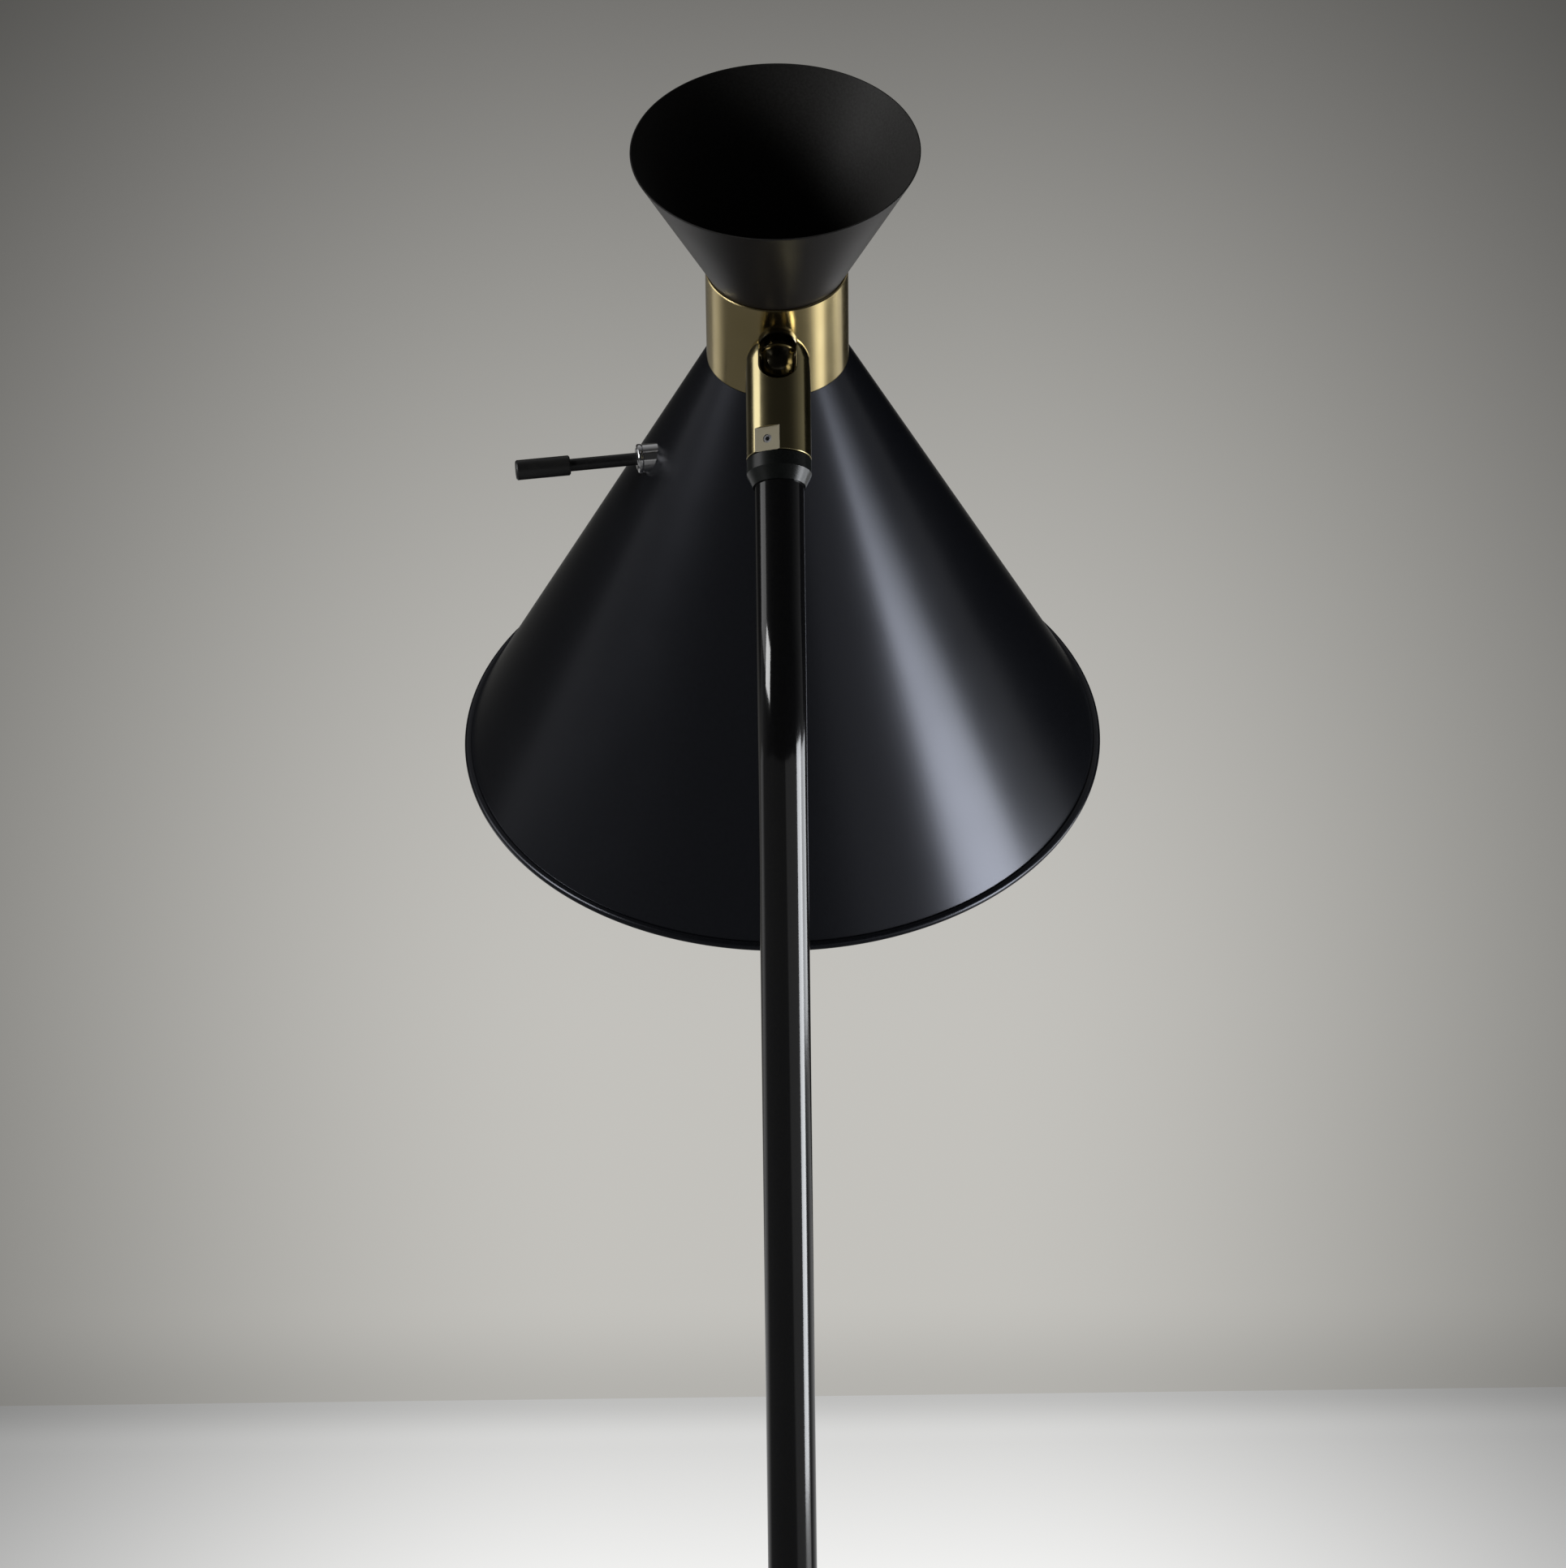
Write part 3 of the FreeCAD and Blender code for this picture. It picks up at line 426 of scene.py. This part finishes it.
# ---------------------------------------------------------------- head
def shade():
    """Spun cone with a closed top, rolled over a bead at the mouth; white enamel inside."""
    bead = Vector((MOUTH_RADIUS - BEAD_RADIUS, BEAD_RADIUS))
    slope = (Vector((COLLAR_RADIUS, SHADE_HEIGHT)) - bead).normalized()
    outward = Vector((slope.y, -slope.x))
    leave = slope.angle_signed(Vector((1, 0)))
    back = leave + math.asin(SHEET / BEAD_RADIUS) - 2 * math.pi
    steps = 40
    turns = [leave + (back - leave) * k / steps for k in range(steps + 1)]
    roll = [bead + BEAD_RADIUS * Vector((math.cos(turn), math.sin(turn))) for turn in turns]
    inner_top = Vector((COLLAR_RADIUS, SHADE_HEIGHT)) - outward * SHEET
    inner_top -= slope * (inner_top.y - SHADE_HEIGHT + SHEET) / slope.y
    points = rounded([
        (COLLAR_RADIUS, SHADE_HEIGHT, 0.0),
        (*roll[0], 0),
        *[(*point, 0) for point in roll[1:-1]],
        (*roll[-1], 0),
        (*inner_top, 0.6),
        (STEM_HOLE_RADIUS, SHADE_HEIGHT - SHEET, 0),
        (STEM_HOLE_RADIUS, SHADE_HEIGHT, 0),
    ])
    mesh = lathe(points)
    for face in mesh.faces:
        above_bead = face.calc_center_median().z > 2 * BEAD_RADIUS + 1
        face.material_index = 1 if above_bead and face.normal.z < -0.1 else 0
    materials = [shade_outside.material, shade_inside.material]
    piece("lamp_shade", mesh, HEAD, materials, "head", ["shade"])


def top_cone():
    """Open cone standing in the collar, with a softly rounded rim."""
    seat = COLLAR_RADIUS - COLLAR_WALL - 0.05
    collar_top = SHADE_HEIGHT + COLLAR_HEIGHT
    flare = (TOP_RIM_RADIUS - seat) / (TOP_RIM_HEIGHT - collar_top)
    foot = seat - flare * (collar_top - TOP_CONE_FLOOR)
    across = SHEET * math.hypot(1, flare)
    mesh = lathe(rounded([
        (TOP_CONE_SCREW_RADIUS, TOP_CONE_FLOOR, 0),
        (foot, TOP_CONE_FLOOR, 0.8),
        (TOP_RIM_RADIUS, TOP_RIM_HEIGHT, 0.35),
        (TOP_RIM_RADIUS - across, TOP_RIM_HEIGHT, 0.35),
        (foot + flare * SHEET - across, TOP_CONE_FLOOR + SHEET, 0.8),
        (TOP_CONE_SCREW_RADIUS, TOP_CONE_FLOOR + SHEET, 0),
    ]))
    for face in mesh.faces:
        face.material_index = 1 if face.normal.z > 0.1 else 0
    materials = [SURFACES["top_cone_black"].material, cone_inside.material]
    piece("upper_cone", mesh, HEAD, materials, "head", ["top_cone"])


# ---------------------------------------------------------------- pole
def pole_tube(name, node, low, high, levels, place, bend=None):
    """A length of pole tube with its ends' edges broken, rings at the given levels, and bent if asked."""
    outside = [(POLE_RADIUS - TUBE_EDGE, low), (POLE_RADIUS, low + TUBE_EDGE)]
    outside += [(POLE_RADIUS, level) for level in levels]
    outside += [(POLE_RADIUS, high - TUBE_EDGE), (POLE_RADIUS - TUBE_EDGE, high)]
    inside = [(POLE_BORE, level) for level in [high, *reversed(levels), low]]
    mesh = lathe(outside + inside, slices=128)
    if bend:
        for vertex in mesh.verts:
            vertex.co = bend(vertex.co)
    black = SURFACES["pole_black"].material
    piece(name, mesh, place, [black], "base", [node])


def pole():
    """The lower straight tube, and the upper one through its bend and up the neck."""
    lower_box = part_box("pole_lower")
    foot = Matrix.Translation((POLE_AXIS.x, POLE_AXIS.y, 0)) @ Matrix.Scale(MM, 4)
    pole_tube("pole_lower_tube", "pole_lower", lower_box[0].z / MM, lower_box[1].z / MM, [], foot)

    lean = math.atan2(NECK_AXIS.y, NECK_AXIS.z)
    neck = (PIVOT.y - POLE_AXIS.y) / NECK_AXIS.y / MM
    corner = PIVOT.z / MM - neck * NECK_AXIS.z
    tangent = BEND_RADIUS * math.tan(lean / 2)
    start = corner - tangent
    arc = BEND_RADIUS * lean
    steps = 36

    def bend(point):
        along = min(max(point.z - start, 0), arc) / BEND_RADIUS
        rest = point.z - start - along * BEND_RADIUS
        hub = Vector((0, BEND_RADIUS, start))
        turn = Matrix.Rotation(-along, 3, "X")
        return hub + turn @ (Vector((point.x, point.y, rest)) - Vector((0, BEND_RADIUS, 0)))

    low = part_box("pole_upper")[0].z / MM
    high = start + arc + neck - tangent - POLE_TOP_DROP
    levels = [start + arc * k / steps for k in range(steps + 1)]
    pole_tube("pole_upper_tube", "pole_upper", low, high, levels, foot, bend)


# ---------------------------------------------------------------- tripod
def leg(name):
    """One leg's tube and the rubber cap on its end, cut flat where it stands."""
    low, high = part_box("leg_" + name)
    centre = (low + high) / 2
    out = Vector((centre.x - POLE_AXIS.x, centre.y - POLE_AXIS.y, 0)).normalized()
    down = out * math.sin(LEG_SPLAY) - Vector((0, 0, math.cos(LEG_SPLAY)))
    length = ((high.z - low.z) / MM - 2 * LEG_RADIUS * math.sin(LEG_SPLAY)) / math.cos(LEG_SPLAY)
    pointing = down.to_track_quat("Z", "Y").to_matrix().to_4x4()
    place = Matrix.Translation(centre) @ pointing @ Matrix.Scale(MM, 4)
    half = length / 2
    tube = lathe(rounded([
        (LEG_RADIUS, -half, TUBE_EDGE),
        (LEG_RADIUS, half, TUBE_EDGE),
        (LEG_BORE, half, 0),
        (LEG_BORE, -half, 0),
    ]), slices=96)
    black = SURFACES["leg_black"].material
    piece("leg_tube_" + name, tube, place, [black], "base", ["leg_" + name])

    cap = lathe(rounded([
        (0, half + 0.05, 0),
        (LEG_RADIUS + 0.05, half + 0.05, 0),
        (LEG_RADIUS + 0.05, half - FOOT_GRIP, 0.5),
        (FOOT_RADIUS, half - FOOT_GRIP, 1.6),
        (FOOT_RADIUS, half + FOOT_CAP + FOOT_RADIUS, 0),
        (0, half + FOOT_CAP + FOOT_RADIUS, 0),
    ]), slices=96)
    floor_in_cap = place.inverted() @ Vector((centre.x, centre.y, 0))
    up_in_cap = (place.inverted().to_3x3() @ Vector((0, 0, 1))).normalized()
    cut = bmesh.ops.bisect_plane(
        cap,
        geom=cap.verts[:] + cap.edges[:] + cap.faces[:],
        plane_co=floor_in_cap,
        plane_no=up_in_cap,
        clear_inner=True,
    )
    rim = [item for item in cut["geom_cut"] if isinstance(item, bmesh.types.BMEdge)]
    bmesh.ops.contextual_create(cap, geom=rim)
    bmesh.ops.recalc_face_normals(cap, faces=cap.faces)
    rubber = SURFACES["foot_rubber"].material
    piece("foot_cap_" + name, cap, place, [rubber], "base", ["foot_" + name])


# ---------------------------------------------------------------- studio
def ramp(tree, value, start, end, low, high, kind="SMOOTHSTEP"):
    """low up to start, high from end on, and a soft or straight rise between them."""
    made = tree.nodes.new("ShaderNodeMapRange")
    made.interpolation_type = kind
    made.inputs["From Min"].default_value = start
    made.inputs["From Max"].default_value = end
    made.inputs["To Min"].default_value = low
    made.inputs["To Max"].default_value = high
    tree.links.new(value, made.inputs["Value"])
    return made.outputs[0]


def arithmetic(tree, operation, *values):
    made = tree.nodes.new("ShaderNodeMath")
    made.operation = operation
    for socket, value in zip(made.inputs, values):
        tree.links.new(value, socket)
    return made.outputs[0]


def row_frame_axes(tree):
    """The row frame's X, Y and Z at each point."""
    place = tree.nodes.new("ShaderNodeTexCoord")
    split = tree.nodes.new("ShaderNodeSeparateXYZ")
    tree.links.new(place.outputs["Object"], split.inputs[0])
    return split.outputs


def painted_pool_across(tree, across):
    """The backdrop's painted pool of light, dimmer to both sides."""
    return ramp(tree, arithmetic(tree, "ABSOLUTE", across), 0.15, 0.95, 1.0, 0.344)


def bare_material(name):
    made = bpy.data.materials.new(name)
    made.use_nodes = True
    made.node_tree.nodes.clear()
    return made, made.node_tree


WALL_DISTANCE = 3.87
WALL_HEIGHT = 5.0
FLOOR_HALF = 9.0
CARD_DEPTH = 0.01
FLOOR_DARK = (0.50, 0.50, 0.49)
FLOOR_PALE = (0.54, 0.54, 0.53)


def wall_material():
    """Warm grey backdrop that glows: a painted pool of light low down, with painted shade along its foot and
    towards the right;
    clear from behind, so that it hides nothing.
    """
    made, tree = bare_material("backdrop_wall")
    x, _, z = row_frame_axes(tree)
    painted_pool_by_height = ramp(tree, z, 1.70, 0.30, 0.08, 1.0)
    # Darker along the wall's foot: painted shade in the crease with the floor.
    foot = ramp(tree, z, 0.0, 0.09, 0.455, 0.545)
    glow = tree.nodes.new("ShaderNodeEmission")
    glow.inputs["Color"].default_value = (1.0, 0.98, 0.925, 1)
    level = arithmetic(tree, "MULTIPLY", arithmetic(tree, "MULTIPLY", painted_pool_by_height, foot), painted_pool_across(tree, x))
    # Much dimmer to the right: painted shade.
    level = arithmetic(tree, "MULTIPLY", level, ramp(tree, x, 0.7, 1.2, 1, 0.08))
    tree.links.new(level, glow.inputs["Strength"])
    clear = tree.nodes.new("ShaderNodeBsdfTransparent")
    side = tree.nodes.new("ShaderNodeNewGeometry")
    pick = tree.nodes.new("ShaderNodeMixShader")
    output = tree.nodes.new("ShaderNodeOutputMaterial")
    tree.links.new(side.outputs["Backfacing"], pick.inputs[0])
    tree.links.new(glow.outputs[0], pick.inputs[1])
    tree.links.new(clear.outputs[0], pick.inputs[2])
    tree.links.new(pick.outputs[0], output.inputs["Surface"])
    return made


def floor_material():
    """Pale floor with soft mottling that takes the lamp's shadow; further back its colour turns near black and a
    painted glow gives its brightness, dipping to painted shade in a band along the wall's foot.
    """
    floor = Surface("backdrop_floor", FLOOR_PALE, 0.62)
    tree = floor.material.node_tree
    x, y, _ = row_frame_axes(tree)
    mottled = tree.nodes.new("ShaderNodeMix")
    mottled.data_type = "RGBA"
    mottled.inputs["A"].default_value = (*FLOOR_DARK, 1)
    mottled.inputs["B"].default_value = (*FLOOR_PALE, 1)
    tree.links.new(floor.pattern(2.5, 4), mottled.inputs["Factor"])
    # Far off, the floor's own colour turns near black, so that its brightness there is the painted glow below.
    base_dark_under_painted_glow = tree.nodes.new("ShaderNodeMix")
    base_dark_under_painted_glow.data_type = "RGBA"
    tree.links.new(ramp(tree, y, 1.6, 3.0, 0, 1), base_dark_under_painted_glow.inputs["Factor"])
    tree.links.new(mottled.outputs["Result"], base_dark_under_painted_glow.inputs["A"])
    base_dark_under_painted_glow.inputs["B"].default_value = (0.02, 0.02, 0.02, 1)
    tree.links.new(base_dark_under_painted_glow.outputs["Result"], floor.shader.inputs["Base Color"])

    # Painted glow over the far floor, rising away from the wall and dipping to painted shade along the wall's
    # foot.
    painted_glow_dipping_at_wall = ramp(tree, y, WALL_DISTANCE, WALL_DISTANCE - 0.15, 0.47, 0.64)
    painted_glow_rising_off_wall = ramp(tree, y, WALL_DISTANCE - 0.18, WALL_DISTANCE - 0.80, 0, 0.28, "LINEAR")
    painted_floor_glow = arithmetic(tree, "ADD", painted_glow_dipping_at_wall, painted_glow_rising_off_wall)
    glow = arithmetic(tree, "MULTIPLY", painted_floor_glow, ramp(tree, y, 1.6, 3.0, 0, 1))
    floor.shader.inputs["Emission Color"].default_value = (1, 1, 0.99, 1)
    level = arithmetic(tree, "MULTIPLY", glow, painted_pool_across(tree, x))
    tree.links.new(level, floor.shader.inputs["Emission Strength"])
    return floor.material


def plane(name, corners, material):
    data = bpy.data.meshes.new(name)
    data.from_pydata(corners, [], [(0, 1, 2, 3)])
    data.materials.append(material)
    made = bpy.data.objects.new(name, data)
    bpy.context.scene.collection.objects.link(made)
    return made


def card_material():
    """Dim card that gloss sees in place of the floor: bright at the right of the lamp and far behind it."""
    made, tree = bare_material("reflection_card")
    x, y, _ = row_frame_axes(tree)
    near_end = ramp(tree, y, -1.7, -0.7, 0.18, 1)
    patch = arithmetic(tree, "MULTIPLY", ramp(tree, y, 0.34, 0.66, 1, 0), near_end)
    beside = arithmetic(tree, "MULTIPLY", ramp(tree, x, 1.2, 1.7, 0, 1.7), patch)
    level = arithmetic(tree, "ADD", beside, ramp(tree, y, 0.9, 2.6, 0.12, 0.6))
    glow = tree.nodes.new("ShaderNodeEmission")
    output = tree.nodes.new("ShaderNodeOutputMaterial")
    tree.links.new(level, glow.inputs["Strength"])
    tree.links.new(glow.outputs[0], output.inputs["Surface"])
    return made


def backdrop():
    far = WALL_DISTANCE
    side = FLOOR_HALF
    square = [(-side, -side, 0), (side, -side, 0), (side, side, 0), (-side, side, 0)]
    floor = plane("floor", square, floor_material())
    floor.visible_glossy = False
    lower_square = [(x, y, -CARD_DEPTH) for x, y, _ in square]
    card = plane("reflection_card", lower_square, card_material())
    card.visible_camera = False
    card.visible_diffuse = False
    card.visible_shadow = False
    top = WALL_HEIGHT
    upright = [(-side, far, 0), (side, far, 0), (side, far, top), (-side, far, top)]
    plane("wall", upright, wall_material())


def softbox(name, azimuth, distance, low, high, width, radiance, colour=(1, 1, 1)):
    """A soft light facing the lamp's axis. azimuth is from the camera's side, to the right; low and high
    are its edges' heights."""
    data = bpy.data.lights.new(name, "AREA")
    data.shape = "RECTANGLE"
    data.size = width
    data.size_y = high - low
    data.energy = radiance * math.pi * width * (high - low)
    data.color = colour
    made = bpy.data.objects.new(name, data)
    turn = math.radians(azimuth)
    out = Vector((math.sin(turn), -math.cos(turn), 0))
    made.location = out * distance + Vector((0, 0, (low + high) / 2))
    made.rotation_mode = "QUATERNION"
    made.rotation_quaternion = out.to_track_quat("Z", "Y")
    made.visible_camera = False
    bpy.context.scene.collection.objects.link(made)


def lights():
    softbox("softbox_right", 76, 1.5, 0.55, 1.16, 0.66, 12.0, (0.93, 0.96, 1.0))
    softbox("softbox_right_back", 105, 1.5, 0.82, 1.08, 0.85, 5.2, (0.93, 0.96, 1.0))
    softbox("softbox_left", -68, 2.0, 1.60, 2.30, 0.8, 12.0)
    softbox("softbox_left_back", -95, 2.2, 1.75, 2.9, 1.0, 1.6)
    world = bpy.data.worlds.new("studio")
    bpy.context.scene.world = world
    world.use_nodes = True
    tree = world.node_tree
    place = tree.nodes.new("ShaderNodeTexCoord")
    split = tree.nodes.new("ShaderNodeSeparateXYZ")
    tree.links.new(place.outputs["Generated"], split.inputs[0])
    dim = tree.nodes["Background"]
    dim.inputs["Color"].default_value = (1, 1, 1, 1)
    tree.links.new(ramp(tree, split.outputs["Y"], -0.5, 0.9, 0.02, 0.30), dim.inputs["Strength"])
    pale = tree.nodes.new("ShaderNodeBackground")
    pale.inputs["Color"].default_value = (1.0, 0.985, 0.95, 1)
    pale.inputs["Strength"].default_value = 0.42
    path = tree.nodes.new("ShaderNodeLightPath")
    pick = tree.nodes.new("ShaderNodeMixShader")
    tree.links.new(path.outputs["Is Camera Ray"], pick.inputs[0])
    tree.links.new(dim.outputs[0], pick.inputs[1])
    tree.links.new(pale.outputs[0], pick.inputs[2])
    tree.links.new(pick.outputs[0], tree.nodes["World Output"].inputs["Surface"])


# ---------------------------------------------------------------- camera
CAMERA_DISTANCE = 4.603
CAMERA_RAISE = -0.0205
CAMERA_PITCH = math.radians(10)
CAMERA_ROLL = math.radians(0.7)
CAMERA_LENS = 223.6


def camera():
    """Behind the pole, looking a little down at the shade; its height and aim follow the shade's mouth."""
    mouth = HEAD @ Vector((0, 0, 0))
    ahead = Vector((0, math.cos(CAMERA_PITCH), -math.sin(CAMERA_PITCH)))
    up = Vector((0, math.sin(CAMERA_PITCH), math.cos(CAMERA_PITCH)))
    data = bpy.data.cameras.new("camera")
    data.lens = CAMERA_LENS
    data.sensor_width = 36
    data.clip_end = 100
    made = bpy.data.objects.new("camera", data)
    made.location = mouth + up * CAMERA_RAISE - ahead * CAMERA_DISTANCE
    level = Matrix.Rotation(math.pi / 2 - CAMERA_PITCH, 4, "X")
    roll = Matrix.Rotation(-CAMERA_ROLL, 4, "Z")
    made.rotation_mode = "QUATERNION"
    made.rotation_quaternion = (level @ roll).to_quaternion()
    bpy.context.scene.collection.objects.link(made)
    bpy.context.scene.camera = made


# ---------------------------------------------------------------- scene
bpy.context.scene.view_settings.view_transform = "Standard"
camera()
backdrop()
lights()
milled_flat_with_painted_reflection(SURFACES["sleeve_brass"])
finish_cad_nodes()
shade()
top_cone()
pole()
for leg_name in ("front", "left", "right"):
    leg(leg_name)
